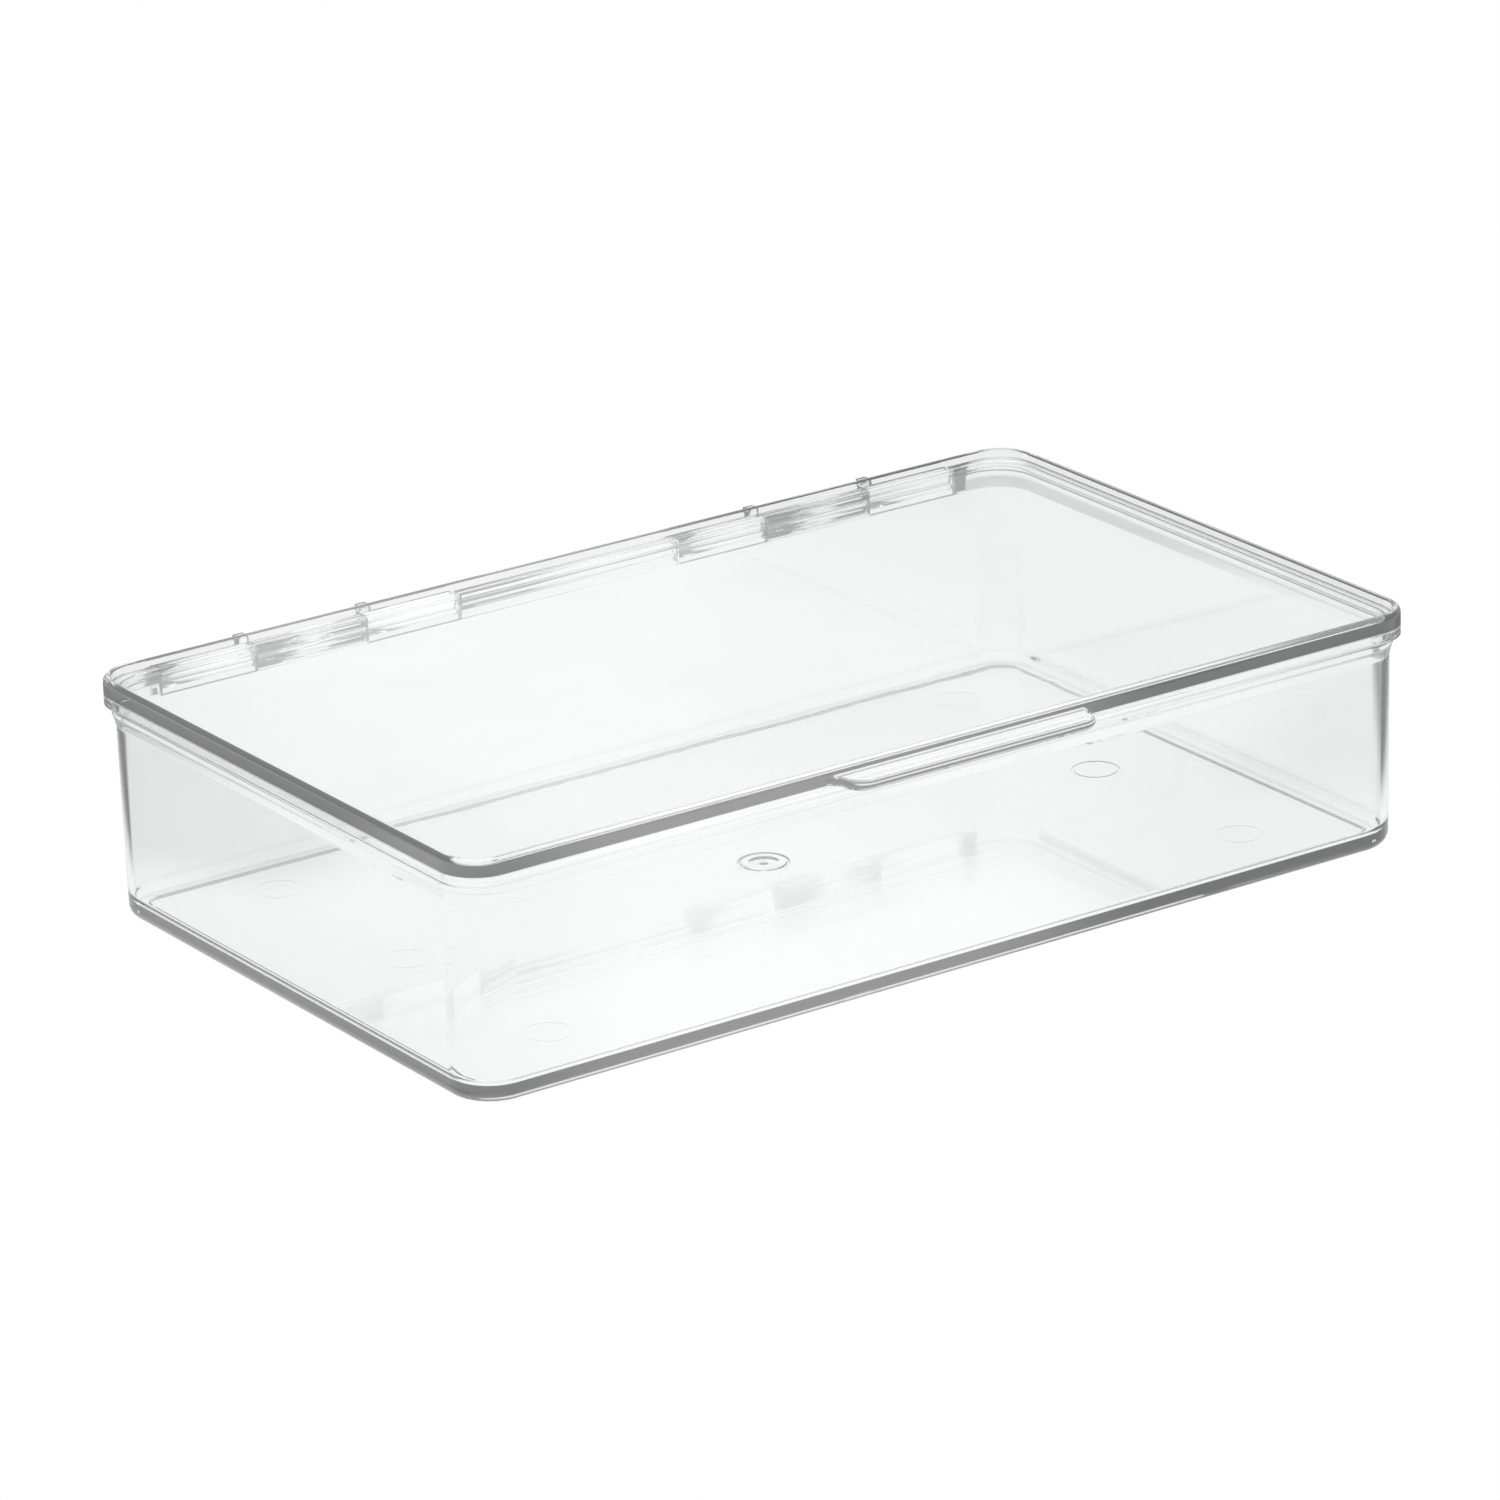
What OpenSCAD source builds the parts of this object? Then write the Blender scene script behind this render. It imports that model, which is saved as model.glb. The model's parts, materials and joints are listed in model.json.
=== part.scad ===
// Clear stackable storage bin with a hinged lid.
//
// The bin is a moulded tub with a stiffening bead below its mouth. The lid drops over the
// mouth and turns on two three-knuckle hinges at the back: the middle knuckle of each belongs to
// the tub, the outer two are fitted to the lid, and one plain pin runs through all three.
// X runs along the long side, Y towards the hinges, Z up. The origin is the middle of the base.

/* [Overall size] */
// Length of the lid, which is the widest piece
lid_w = 340; // [300:5:420]
// Depth of the lid, without the thumb tab and hinges
lid_d = 207; // [150:1:260]
// Height from the table to the top of the stacking rim
total_h = 75.5; // [60:0.5:150]
// Corner radius of the lid in plan
lid_corner_r = 13; // [10:0.5:20]

/* [Tub] */
// How far the tub's wall stands inside the lid's outer face, at its top
wall_inset = 1.8; // [1.5:0.1:2.5]
// Corner radius of the tub in plan, at its top
tub_corner_r = 15; // [12:0.5:20]
// Thickness of the walls
wall_t = 2.2; // [1.6:0.1:3]
// Thickness of the floor
floor_t = 3.0; // [2:0.1:4]
// Height of the foot that runs round under the floor and sits inside the rim of the bin below
foot_h = 1.8; // [1:0.1:2.2]
// Distance from the outside of the wall to the inner side of the foot
foot_w = 8; // [6:0.5:12]
// How far each wall leans in from top to bottom, so that the tub leaves its mould
wall_draft = 0.6; // [0:0.1:1.5]
// Radius of the rounding round the underside
base_round = 4.0; // [1:0.1:5]
// Radius of the inside rounding between floor and wall
floor_fillet = 3.0; // [1:0.1:4]

/* [Bead and collar] */
// How far the bead below the mouth stands out from the wall
bead_out = 1.1; // [0.6:0.1:1.4]
// Height of the bead's upright face
bead_h = 2.6; // [2:0.1:6]
// Height of the slope that runs from the bead back to the wall
bead_slope_h = 2.6; // [1:0.1:5]
// How far the collar that centres the lid stands inside the wall's outer face
collar_inset = 0.6; // [0.5:0.1:0.8]

/* [Lid] */
// Thickness of the flat panel
panel_t = 3.2; // [2:0.1:3.4]
// Height of the stacking rim above the panel
rim_h = 2.4; // [2:0.1:2.8]
// Width of the stacking rim's flat top, measured from the lid's outer face
rim_w = 2.4; // [2:0.1:3]
// Run of the slope from the rim down to the panel
rim_slope = 0.4; // [0.2:0.1:1]
// Height of the skirt from its lower edge to the top of the rim
skirt_h = 8.5; // [7.5:0.1:8.6]
// Thickness of the skirt
skirt_t = 2.0; // [1.4:0.1:2.4]
// Rounding of the lid's upper outer edge
lid_edge_r = 1.6; // [0.4:0.1:1.8]
// Gap under the skirt and over the collar when the lid is shut
shut_gap = 0.3; // [0.2:0.05:0.5]

/* [Thumb tab] */
// Length of the tab at the skirt
tab_w = 97; // [50:1:130]
// How far the tab stands out in front of the skirt
tab_out = 10.7; // [6:0.1:14]
// Thickness of the tab
tab_t = 3.2; // [2.5:0.1:3.4]
// Radius of the tab's front corners in plan
tab_corner_r = 6.5; // [4:0.1:9]

/* [Hinges] */
// Distance from the middle of the bin to the middle of each hinge
hinge_x = 93.4; // [93.4:0.1:96]
// Distance from the middle of a hinge to the middle of each of its lid knuckles
knuckle_x = 36.4; // [30:0.1:36.4]
// Length of a lid knuckle
knuckle_len = 33; // [15:0.5:33]
// Outer radius of the knuckles
knuckle_r = 3.4; // [3:0.1:3.6]
// How far the hinge axis lies behind the lid's back face
axis_back = 0.7; // [0.6:0.1:1]
// How far the hinge axis lies below the top of the rim
axis_drop = 10.3; // [10.2:0.1:10.8]
// Radius of the hinge pins
pin_r = 1.6; // [1.2:0.1:1.9]
// Radial clearance of the pins in the lid's knuckles
pin_clearance = 0.06; // [0.03:0.01:0.1]
// Gap between a knuckle and whatever it turns beside
side_gap = 0.4; // [0.3:0.05:0.8]
// Angle at which the skirt comes down on the stop ribs
stop_angle = 105; // [95:1:110]
// How far the stop ribs reach from the hinge axis
stop_reach = 5.3; // [4.8:0.1:5.6]

/* [Hidden] */
$fn = 96;
EPS = 0.01;

CLEAR = [0.86, 0.90, 0.91, 0.35];
CLEAR_PIN = [0.80, 0.84, 0.86, 0.5];

// Tub, at the top of its wall
tub_w = lid_w - 2 * wall_inset;
tub_d = lid_d - 2 * wall_inset;
skirt_bottom = total_h - skirt_h;
bead_top = skirt_bottom - shut_gap;
bead_bottom = bead_top - bead_h;
panel_top = total_h - rim_h;
panel_bottom = panel_top - panel_t;
collar_top = panel_bottom - shut_gap;
collar_round = 0.6;
bead_round = 0.8;

// Hinges
axis_y = lid_d / 2 + axis_back;
axis_z = total_h - axis_drop;
window_len = knuckle_len + 2 * side_gap;
window_bottom = axis_z - knuckle_r - 0.8;
body_knuckle_len = 2 * knuckle_x - window_len;
pin_len = 2 * knuckle_x + knuckle_len - 1;
cheek_len = 3.6;
cheek_top = total_h - 1.5;
stop_rib_t = 1.8;
stop_gap = 0.3;
window_offsets = [-hinge_x - knuckle_x, -hinge_x + knuckle_x,
    hinge_x - knuckle_x, hinge_x + knuckle_x];

// Floor marks left by the mould
gate_r = 8;
gate_dimple_r = 5;
gate_depth = 0.4;
ejector_r = 7.5;
ejector_depth = 0.15;
ejector_x = 125;
ejector_y = 72;
floor_top = foot_h + floor_t;
skirt_relief = 0.4;

// A half section, drawn outwards from the corner centre with x = 0, carried round a rounded
// rectangle of width w, depth d and corner radius r, and filled in the middle from z0 to z1.
module round_the_plan(w, d, r, z0, z1) {
    long = w / 2 - r;
    short = d / 2 - r;
    for (quarter = [0 : 3])
        translate([quarter == 0 || quarter == 3 ? long : -long, quarter < 2 ? short : -short, 0])
            rotate([0, 0, 90 * quarter]) rotate_extrude(angle = 90) children();
    for (side = [0, 180]) rotate([0, 0, side]) {
        translate([long, short, 0]) rotate([90, 0, 0]) linear_extrude(2 * short) children();
        translate([-long, short, 0]) rotate([90, 0, 90]) linear_extrude(2 * long) children();
    }
    translate([-long, -short, z0]) cube([2 * long, 2 * short, z1 - z0]);
}

// Half section of the tub's outside: rounded base, leaning wall, bead and collar.
module tub_outside_section() {
    foot = tub_corner_r - wall_draft;
    polygon([[0, 0], [foot - base_round, 0], [foot - base_round, base_round], [foot, base_round],
        [tub_corner_r, bead_bottom], [tub_corner_r, bead_top], [0, bead_top]]);
    translate([foot - base_round, base_round]) circle(base_round);
    bead_section();
    collar_section();
}

module bead_section() {
    face = tub_corner_r + bead_out;
    polygon([[tub_corner_r - 1, bead_bottom - bead_slope_h - 1],
        [tub_corner_r, bead_bottom - bead_slope_h], [face, bead_bottom + bead_round],
        [face, bead_top - bead_round], [face - bead_round, bead_top],
        [tub_corner_r - 1, bead_top]]);
    translate([face - bead_round, bead_top - bead_round]) circle(bead_round);
}

module collar_section() {
    face = tub_corner_r - collar_inset;
    polygon([[0, bead_top - 1], [face, bead_top - 1], [face, collar_top - collar_round],
        [face - collar_round, collar_top], [0, collar_top]]);
    translate([face - collar_round, collar_top - collar_round]) circle(collar_round);
}

// Half section of the hollow inside the tub.
module tub_inside_section() {
    face = tub_corner_r - wall_t;
    foot = face - wall_draft;
    polygon([[0, floor_top], [foot - floor_fillet, floor_top],
        [foot - floor_fillet, floor_top + floor_fillet], [foot, floor_top + floor_fillet],
        [face, bead_top], [face, total_h], [0, total_h]]);
    translate([foot - floor_fillet, floor_top + floor_fillet]) circle(floor_fillet);
}

// Half section of the shallow recess that leaves a foot all round the underside.
module foot_recess_section() {
    face = tub_corner_r - foot_w;
    polygon([[0, -1], [face, -1], [face, 0], [face - 0.3, foot_h], [0, foot_h]]);
}

// Gaps in the back wall that the lid's knuckles turn in.
module wall_windows() {
    for (x = window_offsets)
        translate([x - window_len / 2, tub_d / 2 - 2 * wall_t, window_bottom])
            cube([window_len, 4 * wall_t, total_h]);
}

// The mould's feed point in the middle of the floor, and its ejector pins near the corners.
module mould_marks() {
    translate([0, 0, floor_top - gate_depth]) difference() {
        cylinder(r = gate_r, h = 1);
        translate([0, 0, -EPS]) cylinder(r = gate_r - 1, h = 2);
    }
    translate([0, 0, floor_top - gate_depth]) cylinder(r = gate_dimple_r, h = 1);
    for (x = [-ejector_x, ejector_x], y = [-ejector_y, 0, ejector_y])
        translate([x, y, floor_top - ejector_depth]) difference() {
            cylinder(r = ejector_r, h = 1);
            translate([0, 0, -EPS]) cylinder(r = ejector_r - 0.6, h = 2);
        }
}

// Section through a body knuckle, in the plane across the hinge: x is forwards, y is up.
module body_knuckle_section() {
    circle(knuckle_r);
    translate([0, -knuckle_r]) square([axis_back + wall_inset + 1, 2 * knuckle_r]);
    // The rib that the skirt comes down on when the lid is open
    rotate([0, 0, 90 + stop_angle])
        translate([1, stop_gap - axis_back]) square([stop_reach - 1, stop_rib_t]);
}

// Turns a section across the hinge into a bar of the given length, centred on x.
module along_hinge(x, len) {
    translate([x + len / 2, axis_y, axis_z]) rotate([90, 0, -90]) linear_extrude(len) children();
}

module hinge_bore(x, len, r) {
    translate([x - len / 2, axis_y, axis_z]) rotate([0, 90, 0]) cylinder(r = r, h = len);
}

module bin_body() {
    color(CLEAR) difference() {
        union() {
            difference() {
                round_the_plan(tub_w, tub_d, tub_corner_r, 0, collar_top)
                    tub_outside_section();
                round_the_plan(tub_w, tub_d, tub_corner_r, floor_top, total_h)
                    tub_inside_section();
                round_the_plan(tub_w, tub_d, tub_corner_r, -1, foot_h)
                    foot_recess_section();
                wall_windows();
            }
            for (x = [-hinge_x, hinge_x])
                along_hinge(x, body_knuckle_len) body_knuckle_section();
        }
        for (x = [-hinge_x, hinge_x]) hinge_bore(x, body_knuckle_len + 2, pin_r);
        mould_marks();
    }
}

// Half section of the lid: panel, stacking rim and skirt in one.
module lid_section() {
    face = lid_corner_r;
    polygon([[0, panel_bottom], [face - skirt_t, panel_bottom], [face - skirt_t, skirt_bottom],
        [face, skirt_bottom], [face, total_h - lid_edge_r],
        [face - lid_edge_r, total_h - lid_edge_r], [face - lid_edge_r, total_h],
        [face - rim_w, total_h], [face - rim_w - rim_slope, panel_top], [0, panel_top]]);
    intersection() {
        translate([face - lid_edge_r, total_h - lid_edge_r]) circle(lid_edge_r);
        translate([face - lid_edge_r, total_h - lid_edge_r]) square(lid_edge_r + 1);
    }
}

// Outline of the thumb tab: rounded front corners, and sides that flare into the skirt.
module tab_plan() {
    skirt = -lid_d / 2;
    flare = tab_out - tab_corner_r;
    side_x = tab_w / 2 - flare;
    difference() {
        union() {
            translate([tab_corner_r - side_x, skirt - tab_out])
                square([2 * (side_x - tab_corner_r), tab_out + 1]);
            for (side = [-1, 1])
                translate([side * (side_x - tab_corner_r), skirt - flare]) circle(tab_corner_r);
            translate([-tab_w / 2, skirt - flare]) square([tab_w, flare + 1]);
        }
        for (side = [-1, 1])
            translate([side * tab_w / 2, skirt - flare]) circle(flare);
    }
}

module lid() {
    color(CLEAR) difference() {
        union() {
            round_the_plan(lid_w, lid_d, lid_corner_r, panel_bottom, panel_top) lid_section();
            translate([0, 0, panel_top - tab_t]) linear_extrude(tab_t) tab_plan();
        }
        // The skirt is left out where the knuckles go, and cut short over the body's knuckles
        for (x = window_offsets)
            translate([x - knuckle_len / 2, lid_d / 2 - 2 * skirt_t, skirt_bottom - 1])
                cube([knuckle_len, 4 * skirt_t, panel_bottom - skirt_bottom + 1]);
        for (x = [-hinge_x, hinge_x])
            translate([x - knuckle_x, lid_d / 2 - 2 * skirt_t, skirt_bottom - 1])
                cube([2 * knuckle_x, 4 * skirt_t,
                    axis_z + knuckle_r + skirt_relief - skirt_bottom + 1]);
    }
}

// One of the lid's knuckles: a barrel under a block that is welded to the panel's underside,
// with a taller cheek behind the rim on the side of the body's knuckle.
module lid_knuckle(x, cheek_side) {
    color(CLEAR) difference() {
        union() {
            along_hinge(x, knuckle_len) {
                circle(knuckle_r);
                translate([-knuckle_r, 0]) square([2 * knuckle_r, panel_bottom - axis_z]);
            }
            along_hinge(x + cheek_side * (knuckle_len - cheek_len) / 2, cheek_len)
                translate([-knuckle_r, 0]) square([knuckle_r - axis_back, cheek_top - axis_z]);
        }
        hinge_bore(x, knuckle_len + 2, pin_r + pin_clearance);
    }
}

module hinge_pin(x) {
    color(CLEAR_PIN) hinge_bore(x, pin_len, pin_r);
}

bin_body();
lid();
lid_knuckle(window_offsets[0], 1);  // hinge_knuckle_far_left
lid_knuckle(window_offsets[1], -1);  // hinge_knuckle_mid_left
lid_knuckle(window_offsets[2], 1);  // hinge_knuckle_mid_right
lid_knuckle(window_offsets[3], -1);  // hinge_knuckle_far_right
hinge_pin(-hinge_x);  // hinge_pin_left
hinge_pin(hinge_x);  // hinge_pin_right
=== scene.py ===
# %% [markdown]
# # A clear storage bin with a hinged lid
#
# The bin is two thin mouldings in a clear plastic, most likely a styrenic one: a tub and a lid,
# held together by knuckle hinges with clear pins. Nearly all of its look comes from where light
# bends: the panels are almost invisible, and the edges, beads and knuckles draw themselves as
# dark and bright lines. So the work goes into true rounded sections and into what surrounds
# the bin.
#
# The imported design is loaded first. It fixes every place and size, and nothing below moves it.

# %% Load the frame
import json
import math

import bmesh
import bpy
from mathutils import Matrix, Vector


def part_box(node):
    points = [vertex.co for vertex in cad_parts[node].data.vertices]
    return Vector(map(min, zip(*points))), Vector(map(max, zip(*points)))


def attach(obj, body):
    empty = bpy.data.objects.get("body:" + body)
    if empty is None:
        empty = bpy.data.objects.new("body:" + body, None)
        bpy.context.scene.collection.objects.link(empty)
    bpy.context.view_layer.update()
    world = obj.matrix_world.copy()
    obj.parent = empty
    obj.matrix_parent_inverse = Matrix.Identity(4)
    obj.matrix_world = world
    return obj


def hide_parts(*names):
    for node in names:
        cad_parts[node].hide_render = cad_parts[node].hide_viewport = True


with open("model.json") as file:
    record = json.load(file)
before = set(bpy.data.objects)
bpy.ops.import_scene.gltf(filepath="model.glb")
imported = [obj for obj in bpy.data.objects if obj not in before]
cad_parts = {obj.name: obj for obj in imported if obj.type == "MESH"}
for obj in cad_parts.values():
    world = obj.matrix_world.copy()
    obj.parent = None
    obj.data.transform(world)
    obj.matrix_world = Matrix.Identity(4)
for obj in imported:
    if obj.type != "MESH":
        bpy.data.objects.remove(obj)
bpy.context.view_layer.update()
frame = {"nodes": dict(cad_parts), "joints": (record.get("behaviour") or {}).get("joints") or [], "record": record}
MM = 0.001
print("pieces:", ", ".join(sorted(frame["nodes"])))

# %% [markdown]
# ## The camera
#
# A long lens from the front left, a little above the lid, keeps the far corner nearly as large
# as the near one. The camera could track an empty, but a matrix built from three directions
# says the same without a constraint, and takes the small roll of the picture as well.

# %% Camera
AZIMUTH = math.radians(-34.09)
ELEVATION = math.radians(20.365)
ROLL = math.radians(-1.811)
CAMERA_DISTANCE = 2.4589
CAMERA_SIDE = -0.00367
CAMERA_UP = 0.03788
LENS_MM, SENSOR_MM = 195.85, 36
CLIP_END = 100

back = Vector((math.sin(AZIMUTH) * math.cos(ELEVATION),
               -math.cos(AZIMUTH) * math.cos(ELEVATION), math.sin(ELEVATION)))
level_right = (-back).cross(Vector((0, 0, 1))).normalized()
level_up = level_right.cross(-back)
right = level_right * math.cos(ROLL) + level_up * math.sin(ROLL)
up = level_up * math.cos(ROLL) - level_right * math.sin(ROLL)

camera = bpy.data.objects.new("camera", bpy.data.cameras.new("camera"))
bpy.context.scene.collection.objects.link(camera)
bpy.context.scene.camera = camera
camera.data.lens = LENS_MM
camera.data.sensor_width = SENSOR_MM
camera.data.clip_end = CLIP_END
camera.matrix_world = Matrix.Translation(
    right * CAMERA_SIDE + up * CAMERA_UP + back * CAMERA_DISTANCE) @ Matrix(
    (right, up, back)).transposed().to_4x4()
print("camera at", [round(v, 3) for v in camera.matrix_world.translation])

# %% [markdown]
# ## Sizes
#
# The outer faces are read from the design's boxes. The rest are the wall thicknesses and
# roundings of the same design, so the two agree face for face.

# %% Sizes from the frame
lid_low, lid_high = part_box("lid")
tub_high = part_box("bin_body")[1]
knuckle_names = sorted(n for n in frame["nodes"] if "knuckle" in n)
knuckle_boxes = {n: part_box(n) for n in knuckle_names}
pin_names = sorted(n for n in frame["nodes"] if "pin" in n)
hinge_axis = Vector(frame["joints"][0]["pos_m"])

LID_HALF_W, LID_HALF_D = lid_high.x, lid_high.y
LID_TOP, SKIRT_BOTTOM = lid_high.z, lid_low.z
COLLAR_TOP = tub_high.z
KNUCKLE_R = hinge_axis.z - min(low.z for low, high in knuckle_boxes.values())
PIN_R = (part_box(pin_names[0])[1].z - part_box(pin_names[0])[0].z) / 2
print("lid", round(2 * LID_HALF_W / MM, 1), "x", round(2 * LID_HALF_D / MM, 1), "mm, top at",
      round(LID_TOP / MM, 2), "mm; knuckle radius", round(KNUCKLE_R / MM, 2), "mm; pin radius",
      round(PIN_R / MM, 2), "mm")

# %% Wall thicknesses and roundings
LID_CORNER, TUB_CORNER = 13 * MM, 15 * MM
WALL_INSET = 1.8 * MM
TUB_HALF_W, TUB_HALF_D = LID_HALF_W - WALL_INSET, LID_HALF_D - WALL_INSET
WALL, DRAFT = 2.2 * MM, 0.6 * MM
FOOT_H, FOOT_W, FOOT_SLOPE = 1.8 * MM, 8 * MM, 0.3 * MM
FLOOR_TOP = FOOT_H + 3.0 * MM
BASE_ROUND, FLOOR_FILLET = 4.0 * MM, 3.0 * MM
SHUT_GAP = 0.3 * MM
BEAD_OUT, BEAD_H, BEAD_SLOPE, BEAD_ROUND = 1.1 * MM, 2.6 * MM, 2.6 * MM, 0.8 * MM
BEAD_TOP = SKIRT_BOTTOM - SHUT_GAP
COLLAR_INSET = 0.6 * MM
PANEL, RIM_H, RIM_W, RIM_SLOPE = 3.2 * MM, 2.4 * MM, 2.4 * MM, 0.4 * MM
SKIRT, LID_EDGE = 2.0 * MM, 1.6 * MM
PANEL_TOP = LID_TOP - RIM_H
PANEL_BOTTOM = PANEL_TOP - PANEL
print("tub", round(2 * TUB_HALF_W / MM, 1), "x", round(2 * TUB_HALF_D / MM, 1),
      "mm; panel from", round(PANEL_BOTTOM / MM, 2), "to", round(PANEL_TOP / MM, 2), "mm")

# %% [markdown]
# ## Sections carried round a rounded rectangle
#
# A moulding of this kind is one section carried round the plan. A bevel modifier on a box could
# round its edges, but it can't give the bead, the collar or the rim. So each section is a list
# of points, each a ring at its own offset and height. Neighbouring rings are joined with quads,
# and the first and last are closed with one flat face.
#
# Smooth shading averages the faces at each point, and in clear plastic a flat panel shaded with
# tilted edges bends light like a lens. So every straight run gets a point just inside each of
# its ends, and each flat end face a ring just inside its edge. They hold the flats flat.

# %% Rings and arcs
CORNER_STEPS = 28
HOLD = 0.12 * MM
LONG_RUN = 6 * HOLD


def plan_ring(half_w, half_d, radius, z):
    """Points of a rounded rectangle, anticlockwise from the start of the front right corner."""
    points = []
    for quarter, (sx, sy) in enumerate(((1, -1), (1, 1), (-1, 1), (-1, -1))):
        centre = Vector((sx * (half_w - radius), sy * (half_d - radius), z))
        corner = []
        for i in range(CORNER_STEPS + 1):
            a = math.radians(90 * (quarter - 1 + i / CORNER_STEPS))
            corner.append(centre + radius * Vector((math.cos(a), math.sin(a), 0)))
        before = Vector((math.cos(math.pi * quarter / 2), math.sin(math.pi * quarter / 2), 0))
        after = Vector((-before.y, before.x, 0))
        points += [corner[0] - before * HOLD, *corner, corner[-1] + after * HOLD]
    return points


def arc(cx, cz, radius, start, end, steps=8):
    """Points of an arc in a plane, angles in degrees."""
    return [(cx + radius * math.cos(math.radians(start + (end - start) * i / steps)),
             cz + radius * math.sin(math.radians(start + (end - start) * i / steps)))
            for i in range(steps + 1)]


def held(section):
    """Adds a point just inside each end of every long straight run of a section."""
    points = [section[0]]
    for (x0, z0), (x1, z1) in zip(section, section[1:]):
        run = math.hypot(x1 - x0, z1 - z0)
        if run > LONG_RUN:
            t = HOLD / run
            points += [(x0 + (x1 - x0) * t, z0 + (z1 - z0) * t),
                       (x1 - (x1 - x0) * t, z1 - (z1 - z0) * t)]
        points.append((x1, z1))
    return points


print("a corner is drawn with", CORNER_STEPS, "steps of", round(90 / CORNER_STEPS, 1), "degrees")

# %% [markdown]
# A mesh made through rings is closed from the start, which the cuts below need. The same
# helper makes the mouldings, the straight bars of the hinges and the turned tools.

# %% Meshes through rings
def mesh_from_rings(name, rings, closed=False):
    """A mesh through rings of equal length, with a flat face over each end unless it closes."""
    count = len(rings[0])
    pairs = [(k, k + 1) for k in range(len(rings) - 1)]
    faces = []
    if closed:
        pairs.append((len(rings) - 1, 0))
    else:
        faces.append(tuple(reversed(range(count))))
        faces.append(tuple(range((len(rings) - 1) * count, len(rings) * count)))
    for k, m in pairs:
        a, b = k * count, m * count
        faces += [(a + i, a + (i + 1) % count, b + (i + 1) % count, b + i) for i in range(count)]
    mesh = bpy.data.meshes.new(name)
    mesh.from_pydata([p for ring in rings for p in ring], [], faces)
    mesh.update()
    piece = bpy.data.objects.new(name, mesh)
    bpy.context.scene.collection.objects.link(piece)
    return piece


def moulding(name, half_w, half_d, radius, section):
    """Carries a section of (offset, height) points round a rounded rectangle."""
    (first, z0), (last, z1) = section[0], section[-1]
    section = held([(first - 3 * HOLD, z0), *section, (last - 3 * HOLD, z1)])
    return mesh_from_rings(name, [plan_ring(half_w + out, half_d + out, radius + out, z)
                                  for out, z in section])


def bar(name, outline, x0, x1):
    """An outline of (y, z) points, drawn out along X."""
    return mesh_from_rings(name, [[Vector((x, y, z)) for y, z in outline] for x in (x0, x1)])


def turned(name, centre, profile, closed=False, steps=64):
    """A profile of (radius, height) points, turned about the upright through a centre."""
    turn = [2 * math.pi * i / steps for i in range(steps)]
    return mesh_from_rings(name, [[centre + Vector((r * math.cos(a), r * math.sin(a), z))
                                   for a in turn] for r, z in profile], closed)


def block(low, high):
    """A plain box, used as a cutting tool."""
    outline = ((low.y, low.z), (high.y, low.z), (high.y, high.z), (low.y, high.z))
    return bar("tool", outline, low.x, high.x)


print("helpers: moulding, bar, turned, block")

# %% [markdown]
# Cuts and joins are Boolean modifiers with the exact solver, baked at once so that each piece
# ends as a plain mesh. Two more helpers round sharp edges and tidy a finished piece: outward
# faces, smooth shading except at true edges, and a count of edges that don't close.

# %% Cutting, softening and finishing
MERGE_DIST, SLIVER_DIST = 1e-6, 1e-7
FLAT_WEIGHT = 100


def bake_modifiers(piece):
    """Replaces a piece's mesh by what its modifiers make of it."""
    graph = bpy.context.evaluated_depsgraph_get()
    made = bpy.data.meshes.new_from_object(piece.evaluated_get(graph))
    piece.modifiers.clear()
    piece.data = made


def carve(piece, tools, operation="DIFFERENCE"):
    """Cuts tools from a piece, or joins them to it, and removes the tools."""
    for tool in tools:
        finish_mesh(tool, quiet=True)
        step = piece.modifiers.new("carve", "BOOLEAN")
        step.operation = operation
        step.solver = "EXACT"
        step.object = tool
        bake_modifiers(piece)
        bpy.data.objects.remove(tool)


def hold_flats(piece):
    """Lets the largest face at each point set its normal, so that flats stay flat."""
    piece.modifiers.new("flats", "WEIGHTED_NORMAL").weight = FLAT_WEIGHT
    bake_modifiers(piece)


def soften(piece, width, segments=3, angle=50):
    """Rounds a piece's sharp edges a little, as every mould edge is."""
    step = piece.modifiers.new("soften", "BEVEL")
    step.width = width
    step.segments = segments
    step.limit_method = "ANGLE"
    step.angle_limit = math.radians(angle)
    hold_flats(piece)


def finish_mesh(piece, angle=18, quiet=False):
    """Outward faces, smooth shading with sharp edges kept, and a line on the mesh."""
    work = bmesh.new()
    work.from_mesh(piece.data)
    bmesh.ops.remove_doubles(work, verts=work.verts, dist=MERGE_DIST)
    bmesh.ops.dissolve_degenerate(work, edges=work.edges, dist=SLIVER_DIST)
    bmesh.ops.recalc_face_normals(work, faces=work.faces)
    loose = sum(1 for e in work.edges if len(e.link_faces) != 2)
    work.to_mesh(piece.data)
    work.free()
    piece.data.shade_smooth()
    piece.data.set_sharp_from_angle(angle=math.radians(angle))
    if not quiet:
        print(f"{piece.name}: {len(piece.data.polygons)} faces, {loose} open edges")
    return piece


print("helpers: bake_modifiers, carve, hold_flats, soften, finish_mesh")

# %% [markdown]
# ## The tub
#
# The real tub is one shot of clear plastic. Its floor stands on a low foot that seats inside
# the rim of the bin below. Under the mouth runs a bead that stiffens the wall, and above the
# bead a thinner collar centres the lid. The section starts at the recess under the floor and
# goes round the foot, up the leaning wall, over the bead and the collar, and down the inside.

# %% Section of the tub
WALL_TO_BEAD = ((-0.08, -1.5), (0.02, -0.5), (0.18, 0.1))  # mm out from the wall, mm up
BEAD_SLANT, EDGE_CUT, RECESS_DROP = 0.35 * MM, 0.3 * MM, 0.1 * MM


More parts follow.
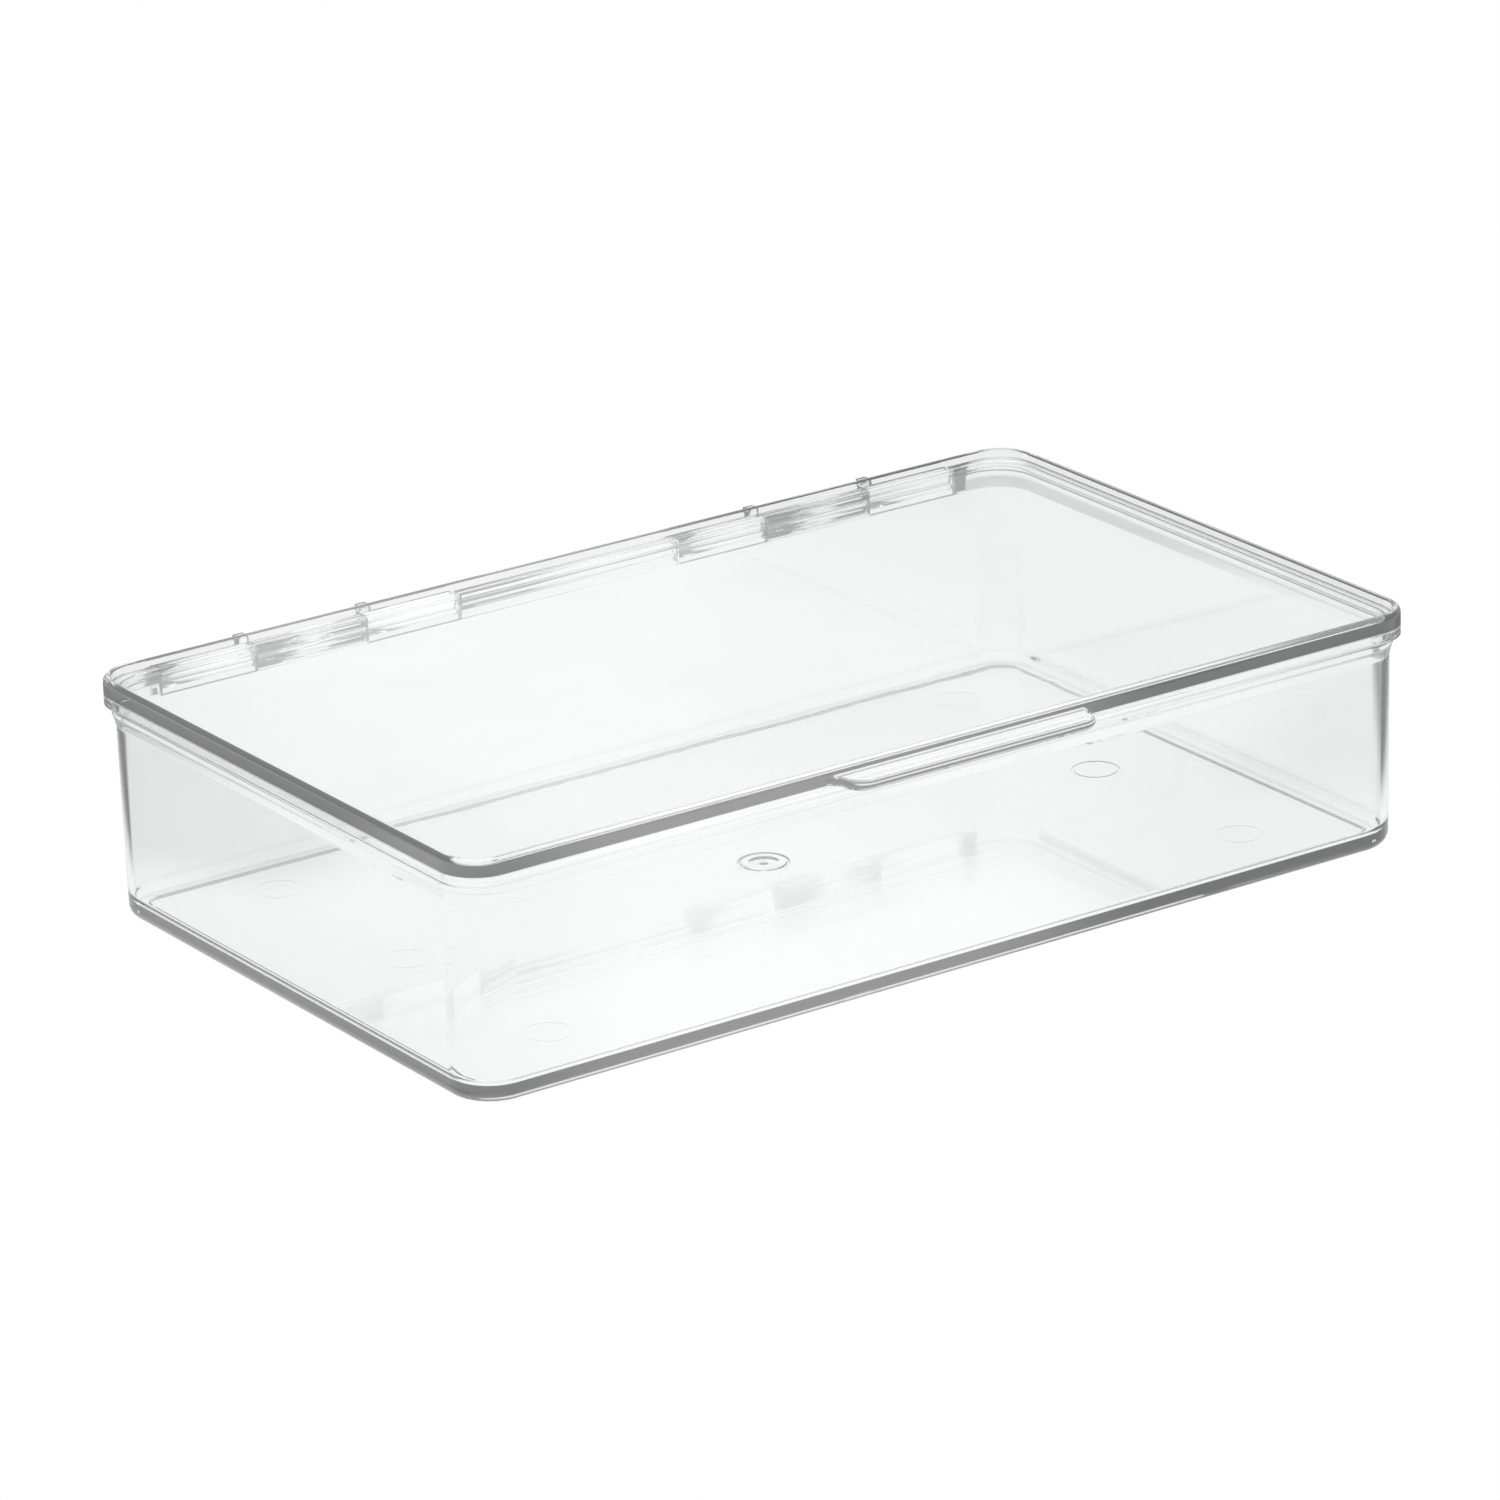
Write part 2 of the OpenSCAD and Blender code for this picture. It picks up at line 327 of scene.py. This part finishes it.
def tub_section():
    """Points of the tub's section, as (offset from the outer wall face, height)."""
    foot = -DRAFT
    bead_low = BEAD_TOP - BEAD_H
    slope_low = bead_low - BEAD_SLOPE
    inner, inner_foot = -WALL, -WALL - DRAFT
    collar = -COLLAR_INSET
    small, lip = 0.6 * MM, 0.4 * MM
    recess = -FOOT_W - FOOT_SLOPE
    section = [(recess - lip, FOOT_H), (recess, FOOT_H - RECESS_DROP),
               (-FOOT_W, EDGE_CUT), (-FOOT_W + EDGE_CUT, 0)]
    section += arc(foot - BASE_ROUND, BASE_ROUND, BASE_ROUND, -90, 0, 14)
    section += [(out * MM, slope_low + rise * MM) for out, rise in WALL_TO_BEAD]
    section.append((BEAD_OUT - BEAD_SLANT, bead_low - BEAD_SLANT))
    section += arc(BEAD_OUT - BEAD_ROUND, bead_low + BEAD_ROUND, BEAD_ROUND, -35, 0, 4)
    section += arc(BEAD_OUT - BEAD_ROUND, BEAD_TOP - BEAD_ROUND, BEAD_ROUND, 0, 90, 8)
    section += [(collar + EDGE_CUT, BEAD_TOP), (collar, BEAD_TOP + EDGE_CUT)]
    section += arc(collar - small, COLLAR_TOP - small, small, 0, 90, 6)
    section += arc(inner + lip, COLLAR_TOP - lip, lip, 90, 180, 6)
    section += arc(inner_foot - FLOOR_FILLET, FLOOR_TOP + FLOOR_FILLET, FLOOR_FILLET, 0, -90, 12)
    return section


tub = moulding("tub", TUB_HALF_W, TUB_HALF_D, TUB_CORNER, tub_section())
finish_mesh(tub)

# %% [markdown]
# ### Marks of the mould
#
# Two kinds of mark are pressed into the inside of the floor. The plastic came in at the middle,
# through a round seat with a dimple and a small nub. The finished tub was pushed out by round
# pins, and each leaves a shallow ring. Six rings in a grid are a guess. One of them stands out,
# so it is cut deeper than the rest. They could be bump in the material, but in clear plastic a
# real groove bends what lies behind it, so they are cut.

# %% Feed point and ejector rings
GATE_R, GATE_DIMPLE_R, NUB_R = 8 * MM, 5 * MM, 1.4 * MM
GATE_GROOVE_W, GATE_GROOVE_DEPTH = 1.2 * MM, 0.4 * MM
NUB_TIP, NUB_RISE, DISH_DEPTH = 0.15 * MM, 0.3 * MM, 0.45 * MM
NUB_STEPS, BOWL_STEPS = 5, 8
EJECTOR_R, EJECTOR_GROOVE_W = 7.5 * MM, 0.9 * MM
EJECTOR_X, EJECTOR_Y = 125 * MM, 72 * MM
CLEAR_RING, FAINT_RING = 0.11 * MM, 0.03 * MM


def groove(centre, radius, width, depth):
    """A tool that cuts a ring-shaped groove with a round bottom."""
    bottom = arc(radius - width / 2, 0, 1.0, 180, 360, 6)
    scaled = [(radius - width / 2 + (r - radius + width / 2) * width / 2, z * depth)
              for r, z in bottom]
    return turned("tool", centre, scaled + [(radius, MM), (radius - width, MM)], closed=True)


def dish(centre):
    """A tool that cuts a shallow dish and leaves a nub in its middle."""
    rise = [(NUB_R * k / NUB_STEPS, -NUB_TIP - NUB_RISE * (k / NUB_STEPS) ** 2)
            for k in range(1, NUB_STEPS + 1)]
    bowl = [(NUB_R + (GATE_DIMPLE_R - NUB_R) * k / BOWL_STEPS,
             -DISH_DEPTH * (1 - (k / BOWL_STEPS) ** 4)) for k in range(1, BOWL_STEPS + 1)]
    return turned("tool", centre, rise + bowl + [(GATE_DIMPLE_R, MM), (NUB_R, MM)])


floor_middle = Vector((0, 0, FLOOR_TOP))
marks = [dish(floor_middle), groove(floor_middle, GATE_R, GATE_GROOVE_W, GATE_GROOVE_DEPTH)]
for x in (-EJECTOR_X, EJECTOR_X):
    for y in (-EJECTOR_Y, 0, EJECTOR_Y):
        depth = CLEAR_RING if x > 0 and y == 0 else FAINT_RING
        marks.append(groove(Vector((x, y, FLOOR_TOP)), EJECTOR_R, EJECTOR_GROOVE_W, depth))
carve(tub, marks)
finish_mesh(tub)

# %% [markdown]
# ### Windows and hinge knuckles of the tub
#
# The back wall has four windows for the lid's knuckles to turn in. Between each pair of
# windows the tub carries its own knuckle, a half round on a block, bored for the pin, with a
# rib that stops the lid just past upright.

# %% Windows in the back wall
WINDOW_GAP, WINDOW_DROP = 0.4 * MM, 0.8 * MM
WINDOW_BOTTOM = hinge_axis.z - KNUCKLE_R - WINDOW_DROP
carve(tub, [block(Vector((low.x - WINDOW_GAP, TUB_HALF_D - 2 * WALL, WINDOW_BOTTOM)),
                  Vector((high.x + WINDOW_GAP, TUB_HALF_D + 2 * WALL, LID_TOP)))
            for low, high in knuckle_boxes.values()])
finish_mesh(tub)

# %% Knuckles of the tub
STOP_ANGLE = math.radians(frame["record"]["behaviour"]["joints"][0]["range_deg"][1])
STOP_START, STOP_REACH = 2.2 * MM, 5.3 * MM
STOP_RIB, STOP_GAP = 1.8 * MM, 0.3 * MM
AXIS_BACK = hinge_axis.y - LID_HALF_D
PIN_SLACK = 0.04 * MM
KNUCKLE_ROOT = 1.0 * MM


def tub_knuckle_outline():
    """The half round behind the axis and the block that joins it to the wall."""
    wall = TUB_HALF_D - KNUCKLE_ROOT
    round_part = arc(hinge_axis.y, hinge_axis.z, KNUCKLE_R, -90, 90, 32)
    return [(wall, hinge_axis.z - KNUCKLE_R)] + round_part + [(wall, hinge_axis.z + KNUCKLE_R)]


def stop_rib_outline():
    """The rib, laid along the skirt's outer face at the angle where the lid stops."""
    along = Vector((math.sin(STOP_ANGLE), math.cos(STOP_ANGLE)))
    across = Vector((along.y, -along.x))
    start = Vector((hinge_axis.y, hinge_axis.z))
    near = AXIS_BACK - STOP_GAP - STOP_RIB
    far = AXIS_BACK - STOP_GAP
    return [tuple(start + along * a - across * b) for a, b in (
        (STOP_START, near), (STOP_REACH, near), (STOP_REACH, far), (STOP_START, far))]


def cylinder(x0, x1, radius, steps=48):
    """A round bar on the hinge axis."""
    return bar("tool", arc(hinge_axis.y, hinge_axis.z, radius, 0, 360, steps)[:-1], x0, x1)


pin_middles = [(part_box(n)[0].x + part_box(n)[1].x) / 2 for n in pin_names]
knuckle_ends = sorted(x for low, high in knuckle_boxes.values() for x in (low.x, high.x))
tub_knuckles = [(knuckle_ends[1] + WINDOW_GAP, knuckle_ends[2] - WINDOW_GAP),
                (knuckle_ends[5] + WINDOW_GAP, knuckle_ends[6] - WINDOW_GAP)]
for x0, x1 in tub_knuckles:
    carve(tub, [bar("knuckle", tub_knuckle_outline(), x0, x1)], "UNION")
    carve(tub, [bar("rib", stop_rib_outline(), x0, x1)], "UNION")
    carve(tub, [cylinder(x0 - MM, x1 + MM, PIN_R + PIN_SLACK)])
finish_mesh(tub)
hold_flats(tub)

# %% [markdown]
# ## The lid
#
# The lid is a flat panel with a low rim above, which keeps a stacked bin in place, and a short
# skirt below, which drops over the tub's collar. It is drawn the same way as the tub, from the
# panel's underside, down and up the skirt, over the rounded edge and the rim, to the panel.

# %% Section of the lid
def lid_section():
    """Points of the lid's section, as (offset from the outer face, height)."""
    fillet, small = 0.5 * MM, 0.35 * MM
    rim_foot = -RIM_W - RIM_SLOPE
    section = arc(-SKIRT - fillet, PANEL_BOTTOM - fillet, fillet, 90, 0, 6)
    section += arc(-SKIRT + small, SKIRT_BOTTOM + small, small, 180, 270, 6)
    section += arc(-small, SKIRT_BOTTOM + small, small, -90, 0, 6)
    section += arc(-LID_EDGE, LID_TOP - LID_EDGE, LID_EDGE, 0, 90, 10)
    section += arc(-RIM_W + small, LID_TOP - small, small, 90, 170, 5)
    section += arc(rim_foot - fillet, PANEL_TOP + fillet, fillet, -10, -90, 5)
    return section


lid = moulding("lid_panel", LID_HALF_W, LID_HALF_D, LID_CORNER, lid_section())
finish_mesh(lid)

# %% [markdown]
# ### The thumb tab
#
# The tab is the panel carried on past the skirt, with a fully rounded edge for the fingertip.
# In plan its sides flare into the skirt. The outline is drawn as a ring and stacked with its
# inset following a half circle, which gives the round edge without a bevel.

# %% Thumb tab
TAB_OUT = -LID_HALF_D - lid_low.y
TAB_HALF, TAB_T = 48.5 * MM, 3.2 * MM
TAB_CORNER, TAB_TUCK = 6.5 * MM, 0.02 * MM
TAB_FLARE = TAB_OUT - TAB_CORNER
TAB_SIDE = TAB_HALF - TAB_FLARE


def tab_ring(inset, z):
    """The tab's outline, from its left root round the front to its right root, drawn in."""
    turn_y = -LID_HALF_D - TAB_FLARE
    side = [(TAB_HALF, -LID_HALF_D + SKIRT)]
    side += arc(TAB_HALF, turn_y, TAB_FLARE + inset, 90, 180, 12)
    side += arc(TAB_SIDE - TAB_CORNER, turn_y, TAB_CORNER - inset, 0, -90, 14)
    side.append((TAB_SIDE - TAB_CORNER - HOLD, turn_y - TAB_CORNER + inset))
    return [Vector((x, y, z)) for x, y in [(-x, y) for x, y in side] + side[::-1]]


tab_middle = PANEL_TOP - TAB_T / 2
edge = TAB_T / 2 - TAB_TUCK
tab = mesh_from_rings("tab", [tab_ring(edge - r, z)
                              for r, z in arc(0, tab_middle, edge, -90, 90, 12)])
carve(lid, [tab], "UNION")
finish_mesh(lid)

# %% [markdown]
# ### Notches over the hinges
#
# The skirt is left out where the lid's knuckles hang from the panel, and it is cut shorter
# over the tub's knuckles, so that it clears them as the lid turns.

# %% Notches in the skirt
SKIRT_RELIEF = 0.4 * MM


def notch(x0, x1, top):
    """A tool that cuts the back skirt away up to a height."""
    return block(Vector((x0, LID_HALF_D - 2 * SKIRT, SKIRT_BOTTOM - MM)),
                 Vector((x1, LID_HALF_D + 2 * SKIRT, top)))


relief_top = hinge_axis.z + KNUCKLE_R + SKIRT_RELIEF
carve(lid, [notch(x0 - 2 * WINDOW_GAP, x1 + 2 * WINDOW_GAP, relief_top)
            for x0, x1 in tub_knuckles])
carve(lid, [notch(low.x, high.x, PANEL_BOTTOM) for low, high in knuckle_boxes.values()])
finish_mesh(lid)
hold_flats(lid)

# %% [markdown]
# ## The lid's knuckles
#
# Each is a small moulding of its own: a barrel under a block that is welded to the panel, and
# a taller cheek at the end beside the tub's knuckle. Small parts show their edges most, so
# these are bored and then bevelled all over.

# %% Four knuckles
CHEEK_LEN = 3.6 * MM
CHEEK_TOP = LID_TOP - 1.5 * MM
WELD_LINE = 0.05 * MM
BORE_SLACK = 0.06 * MM
KNUCKLE_ROUND, KNUCKLE_SHARP = 0.25 * MM, 35


def knuckle_outline():
    """A half round below the axis with straight sides up to the panel."""
    y, z = hinge_axis.y, hinge_axis.z
    top = PANEL_BOTTOM - WELD_LINE
    return arc(y, z, KNUCKLE_R, -180, 0, 32) + [(y + KNUCKLE_R, top), (y - KNUCKLE_R, top)]


def cheek_outline():
    """The cheek behind the lid's back face."""
    y0, y1 = hinge_axis.y + AXIS_BACK, hinge_axis.y + KNUCKLE_R
    return [(y0, hinge_axis.z), (y1, hinge_axis.z), (y1, CHEEK_TOP), (y0, CHEEK_TOP)]


knuckles = {}
for name, (low, high) in knuckle_boxes.items():
    piece = bar(name.replace("hinge_", ""), knuckle_outline(), low.x, high.x)
    inner_right = min(pin_middles, key=lambda x: abs(x - low.x)) > low.x
    cheek_x = high.x - CHEEK_LEN if inner_right else low.x
    carve(piece, [bar("tool", cheek_outline(), cheek_x, cheek_x + CHEEK_LEN)], "UNION")
    carve(piece, [cylinder(low.x - MM, high.x + MM, PIN_R + BORE_SLACK)])
    soften(piece, KNUCKLE_ROUND)
    knuckles[name] = finish_mesh(piece, angle=KNUCKLE_SHARP)

# %% [markdown]
# ## The pins
#
# A hinge pin is a length of clear rod with turned ends. It is stacked from circles along its
# length, with a small chamfer and a slightly domed face at each end.

# %% Two pins
PIN_END = ((0.0, 0.55), (0.12, 0.8), (0.3, 0.97), (0.5, 1.0))  # mm from the end, part of radius
PIN_TUCK = 0.01 * MM
pins = {}
for name in pin_names:
    low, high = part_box(name)
    stations = [(low.x + d * MM, s) for d, s in PIN_END]
    stations += [(high.x - d * MM, s) for d, s in reversed(PIN_END)]
    rings = [[Vector((x, y, z)) for y, z in
              arc(hinge_axis.y, hinge_axis.z, (PIN_R - PIN_TUCK) * s, 0, 360, 40)[:-1]]
             for x, s in stations]
    pins[name] = finish_mesh(mesh_from_rings(name.replace("hinge_", ""), rings))

# %% [markdown]
# ## Shader maths
#
# Node trees for materials grow hard to read when every node is placed by hand. This small
# class wraps one socket, so that sums on it are written as sums and add their Math nodes.

# %% A socket that can be added, subtracted and multiplied
class Strand:
    """One socket of a node tree, used in sums like a number."""

    def __init__(self, tree, socket=None):
        self.tree = tree
        self.socket = socket

    def node(self, kind, settings=None, sockets=None, output=0):
        """Adds a node: its settings first, then values or links of its sockets."""
        made = self.tree.nodes.new(kind)
        for key, value in (settings or {}).items():
            if key == "stops":
                for place, (position, level) in enumerate(value):
                    stops = made.color_ramp.elements
                    stop = stops[place] if place < 2 else stops.new(position)
                    stop.position = position
                    stop.color = (level, level, level, 1)
            else:
                setattr(made, key, value)
        for key, value in (sockets or {}).items():
            if isinstance(value, Strand):
                self.tree.links.new(value.socket, made.inputs[key])
            else:
                made.inputs[key].default_value = value
        return Strand(self.tree, made.outputs[output])

    def maths(self, operation, first, second):
        return self.node("ShaderNodeMath", {"operation": operation}, {0: first, 1: second})

    def __add__(self, other):
        return self.maths("ADD", self, other)

    def __sub__(self, other):
        return self.maths("SUBTRACT", self, other)

    def __rsub__(self, other):
        return self.maths("SUBTRACT", other, self)

    def __mul__(self, other):
        return self.maths("MULTIPLY", self, other)

    __radd__ = __add__
    __rmul__ = __mul__


def blend_colours(low, high, mask):
    """Goes from one colour to another as a mask goes from 0 to 1."""
    return mask.node("ShaderNodeMix", {"data_type": "RGBA"},
                     {0: mask, 6: (*low, 1), 7: (*high, 1)}, output=2)


print("Strand: +, - and * on sockets")

# %% [markdown]
# ## Clear plastic
#
# Polished clear plastic isn't perfect glass. The surface keeps a long, faint waviness from the
# way the plastic flowed, handling leaves soft smudges and a few hairline scratches, and the
# plastic itself is very slightly hazy. Each of these is a noise at its own size, in metres on
# the object. The waviness goes to the normal, and the smudges and scratches to the roughness.
# The haze is painted light: a faint glow given off by the plastic, in place of the light that a
# true volume would scatter, which a thin sheet can't afford. The glow's level and its spread
# along the length are set so that the edge band is lighter round the middle and darker at both
# ends, which is painted light too. What causes that on the real bin isn't modelled.

# %% Clear plastic
IOR_CLEAR = 1.57
# Painted glow: where along the length it is full and where it fades, its patches, and its dark and light colours.
GLOW_MIDDLE, GLOW_FULL, GLOW_END = -0.04, 0.06, 0.13
GLOW_PATCHES, GLOW_LOW, GLOW_SWING = 9.0, 0.7, 0.6
GLOW_DARK, GLOW_LIGHT = (0.56, 0.57, 0.57), (1.15, 1.15, 1.15)
FLOW_SCALE, RIPPLE_SCALE, RIPPLE_PART = (14, 26, 26), 160.0, 0.06
SMUDGE_SCALE, SMUDGE_STOPS = 22.0, [(0.45, 0), (0.75, 1)]
SCRATCH_SCALE, SCRATCH_TURN, SCRATCH_STOPS = (40, 1500, 1500), 24, [(0.70, 0), (0.74, 1)]
SCRATCH_PART, SCRATCH_ROUGH, POLISH_ROUGH = 0.01, 0.05, 0.008


def noise(start, place, scale, detail=2.0, rough=0.5):
    return start.node("ShaderNodeTexNoise", {}, {
        "Vector": place, "Scale": scale, "Detail": detail, "Roughness": rough})


def stretched(start, place, scale, turn):
    return start.node("ShaderNodeMapping", {}, {
        "Vector": place, "Scale": scale, "Rotation": (0, 0, math.radians(turn))})


def clear_plastic(name, clean, tint, painted_glow, wave, smudge):
    """Clear plastic: colour, tint of smudged patches, strength of the painted glow, waviness and smudge strength.
    """
    material = bpy.data.materials.new(name)
    material.use_nodes = True
    tree = material.node_tree
    shader = tree.nodes["Principled BSDF"]
    start = Strand(tree)
    place = start.node("ShaderNodeTexCoord", output="Object")

    flow = noise(start, stretched(start, place, FLOW_SCALE, 0), 1.0)
    ripple = noise(start, place, RIPPLE_SCALE, 1.0)
    patches = noise(start, place, SMUDGE_SCALE, 4.0, 0.6)
    smudges = start.node("ShaderNodeValToRGB", {"stops": SMUDGE_STOPS}, {"Fac": patches})
    streaks = noise(start, stretched(start, place, SCRATCH_SCALE, SCRATCH_TURN), 1.0, 1.0)
    scratches = start.node("ShaderNodeValToRGB", {"stops": SCRATCH_STOPS}, {"Fac": streaks})
    length = start.node("ShaderNodeSeparateXYZ", {}, {"Vector": place}, "X")
    # Painted glow: brightest round the middle of the length, fading darker towards both ends.
    off_middle = start.node("ShaderNodeMath", {"operation": "ABSOLUTE"}, {0: length - GLOW_MIDDLE})
    middle = start.node("ShaderNodeMapRange", {"interpolation_type": "SMOOTHSTEP"}, {
        "Value": off_middle, "From Min": GLOW_END, "From Max": GLOW_FULL})
    glow = middle * (GLOW_LOW + GLOW_SWING * noise(start, place, GLOW_PATCHES, 1.0))
    height = flow + RIPPLE_PART * ripple - SCRATCH_PART * scratches
    bump = start.node("ShaderNodeBump", {}, {
        "Height": height, "Strength": 1.0, "Distance": wave})

    links = {
        "Base Color": blend_colours(clean, tint, smudges),
        "Roughness": POLISH_ROUGH + smudge * smudges + SCRATCH_ROUGH * scratches,
        "Emission Color": blend_colours(GLOW_DARK, GLOW_LIGHT, glow),
        "Normal": bump,
    }
    for socket, strand in links.items():
        tree.links.new(strand.socket, shader.inputs[socket])
    shader.inputs["Transmission Weight"].default_value = 1.0
    shader.inputs["IOR"].default_value = IOR_CLEAR
    shader.inputs["Emission Strength"].default_value = painted_glow
    return material


CLEAN_TUB, CLEAN = (0.960, 0.965, 0.965), (0.982, 0.986, 0.986)
SMUDGED, SMUDGED_HINGE = (0.952, 0.962, 0.962), (0.965, 0.975, 0.970)
# The fourth value of each finish is the strength of its painted glow.
finishes = {
    "clear_tub": clear_plastic("clear_tub", CLEAN_TUB, SMUDGED, 0.035, 0.00004, 0.03),
    "clear_lid": clear_plastic("clear_lid", CLEAN, SMUDGED, 0.040, 0.00003, 0.02),
    "clear_hinge": clear_plastic("clear_hinge", CLEAN, SMUDGED_HINGE, 0.04, 0.00002, 0.02),
    "clear_pin": clear_plastic("clear_pin", CLEAN, SMUDGED_HINGE, 0.04, 0.00002, 0.02),
}
print("finishes:", ", ".join(finishes))

# %% [markdown]
# ## Putting it together
#
# Every piece rides on the body that the design gives its part, stands in for that part, and
# takes the finish of its own slot. The lid and its four knuckles turn together, and the pins
# stay in the tub.

# %% Bodies, parts and finishes
body_of = {node: body for body, nodes in frame["record"]["behaviour"]["bodies"].items()
           for node in nodes}
slot_of = {part["node"]: part["material_slot"] for part in frame["record"]["subparts"]}
pieces = {"bin_body": tub, "lid": lid, **knuckles, **pins}
for node, piece in pieces.items():
    piece.data.materials.clear()
    piece.data.materials.append(finishes[slot_of[node]])
    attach(piece, body_of[node])
    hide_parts(node)
    print(f"{piece.name} rides on {body_of[node]}, finish {slot_of[node]}")

# %% [markdown]
# ## The table
#
# The bin stands on a white light table, so it has no shadow, and its clear panels show nothing
# but white. A large plane that gives off even light does this with one face. Clear plastic
# shows its edges only if they bend in something dark, and a real set puts dark cards, called
# flags, just out of view for that. Here the table itself is darker in three areas, and only
# bent light sees them. The areas are given below, and they reach so far in that real cards
# in those places would be in view. So this is a trick of light and not a set that could be
# built. From other sides the areas show through the plastic as soft grey patches.
# The plane lies a hair below the foot: two faces in one place would flicker.

# %% Table
TABLE_HALF = 30.0
TABLE_DROP, TABLE_THICK = 0.5 * MM, 0.01
table = mesh_from_rings("table", [[
    Vector((x, y, z)) for x, y in ((-TABLE_HALF, -TABLE_HALF), (TABLE_HALF, -TABLE_HALF),
                                   (TABLE_HALF, TABLE_HALF), (-TABLE_HALF, TABLE_HALF))]
    for z in (-TABLE_DROP - TABLE_THICK, -TABLE_DROP)])
finish_mesh(table)
SIDE_WAY = Vector((-back.y, back.x, 0)).normalized()
FAR_WAY = Vector((-back.x, -back.y, 0)).normalized()
OPEN_LEVEL, TABLE_LEVEL, SIDE_FLAG_LEVEL, FAR_FLAG_LEVEL = 1.0, 0.90, 0.20, 0.55
SIDE_FLAG = (0.207, 0.25, 0.36, 0.40)
SIDE_FLAG_ALONG = (-0.08, -0.04, 0.24, 0.28)
FAR_FLAG = (0.43, 0.55, 0.90, 1.10)


def card(place, start, full, fade, end):
    """Rises from 0 to 1 between two places and falls back between two more."""
    smooth = {"interpolation_type": "SMOOTHSTEP"}
    rise = place.node("ShaderNodeMapRange", smooth, {
        "Value": place, "From Min": start, "From Max": full})
    fall = place.node("ShaderNodeMapRange", smooth, {
        "Value": place, "From Min": fade, "From Max": end})
    return rise - fall


light_table = bpy.data.materials.new("light_table")
light_table.use_nodes = True
table_shader = light_table.node_tree.nodes["Principled BSDF"]
table_shader.inputs["Base Color"].default_value = (0, 0, 0, 1)
table_shader.inputs["Specular IOR Level"].default_value = 0
table_shader.inputs["Emission Strength"].default_value = 1.0
on_table = Strand(light_table.node_tree)
where = on_table.node("ShaderNodeNewGeometry", output="Position")
across, along = [on_table.node("ShaderNodeVectorMath", {"operation": "DOT_PRODUCT"},
                               {0: where, 1: tuple(way)}, "Value") for way in (SIDE_WAY, FAR_WAY)]
aside = on_table.node("ShaderNodeMath", {"operation": "ABSOLUTE"}, {0: across})
side_flag = card(aside, *SIDE_FLAG) * card(along, *SIDE_FLAG_ALONG)
far_flag = card(along, *FAR_FLAG)
far_level = TABLE_LEVEL + (FAR_FLAG_LEVEL - TABLE_LEVEL) * far_flag
bent_level = far_level + (SIDE_FLAG_LEVEL - far_level) * side_flag
seen_direct = on_table.node("ShaderNodeLightPath", output="Is Camera Ray")
table_level = bent_level + (OPEN_LEVEL - bent_level) * seen_direct
table_light = blend_colours((0, 0, 0), (1, 1, 1), table_level)
light_table.node_tree.links.new(table_light.socket, table_shader.inputs["Emission Color"])
table.data.materials.append(light_table)
print("table level", OPEN_LEVEL, "direct and", TABLE_LEVEL, "through plastic; flags from",
      SIDE_FLAG[0], "m to both sides and", FAR_FLAG[0], "m behind")

# %% [markdown]
# ## The room
#
# What the bin shows is its surroundings. Clear plastic needs something darker to bend into its
# edges, or they vanish. The far side of the room is a pale grey, which the panels reflect
# softly, the near side is dark, and overhead is a bright soft ceiling that lines the roundings.
# Seen direct, past the bin, the room is as white as the table, which is the same trick again.
# The levels are given below.

# %% Room light
NEAR_LEVEL, FAR_LEVEL, CEILING_LEVEL = 0.08, 0.74, 1.1
HORIZON_PART, ABOVE_PART = 0.45, 0.55
FAR_STOPS, CEILING_STOPS = [(0.58, 0), (0.86, 1)], [(0.55, 0), (0.85, 1)]
ABOVE_STOPS = [(0.04, 0), (0.18, 1)]
room = bpy.data.worlds.new("room")
bpy.context.scene.world = room
room.use_nodes = True
background = room.node_tree.nodes["Background"]
sky = Strand(room.node_tree)
direction = sky.node("ShaderNodeTexCoord", output="Generated")
away = sky.node("ShaderNodeVectorMath", {"operation": "DOT_PRODUCT"},
                {0: direction, 1: (-back.x, -back.y, 0.0)}, "Value")
height = sky.node("ShaderNodeSeparateXYZ", {}, {"Vector": direction}, "Z")
far_side = sky.node("ShaderNodeValToRGB", {"stops": FAR_STOPS}, {"Fac": 0.5 + 0.5 * away})
ceiling = sky.node("ShaderNodeValToRGB", {"stops": CEILING_STOPS}, {"Fac": height})
above = sky.node("ShaderNodeValToRGB", {"stops": ABOVE_STOPS}, {"Fac": height})
wall_level = (NEAR_LEVEL + (FAR_LEVEL - NEAR_LEVEL) * far_side
              * (HORIZON_PART + ABOVE_PART * above))
bent_level = wall_level + (CEILING_LEVEL - wall_level) * ceiling
seen_direct = sky.node("ShaderNodeLightPath", output="Is Camera Ray")
level = bent_level + (OPEN_LEVEL - bent_level) * seen_direct
room.node_tree.links.new(level.socket, background.inputs["Strength"])
background.inputs["Color"].default_value = (1, 1, 1, 1)
bpy.context.scene.view_settings.view_transform = "Standard"
print("room levels: near", NEAR_LEVEL, "far", FAR_LEVEL, "ceiling", CEILING_LEVEL)
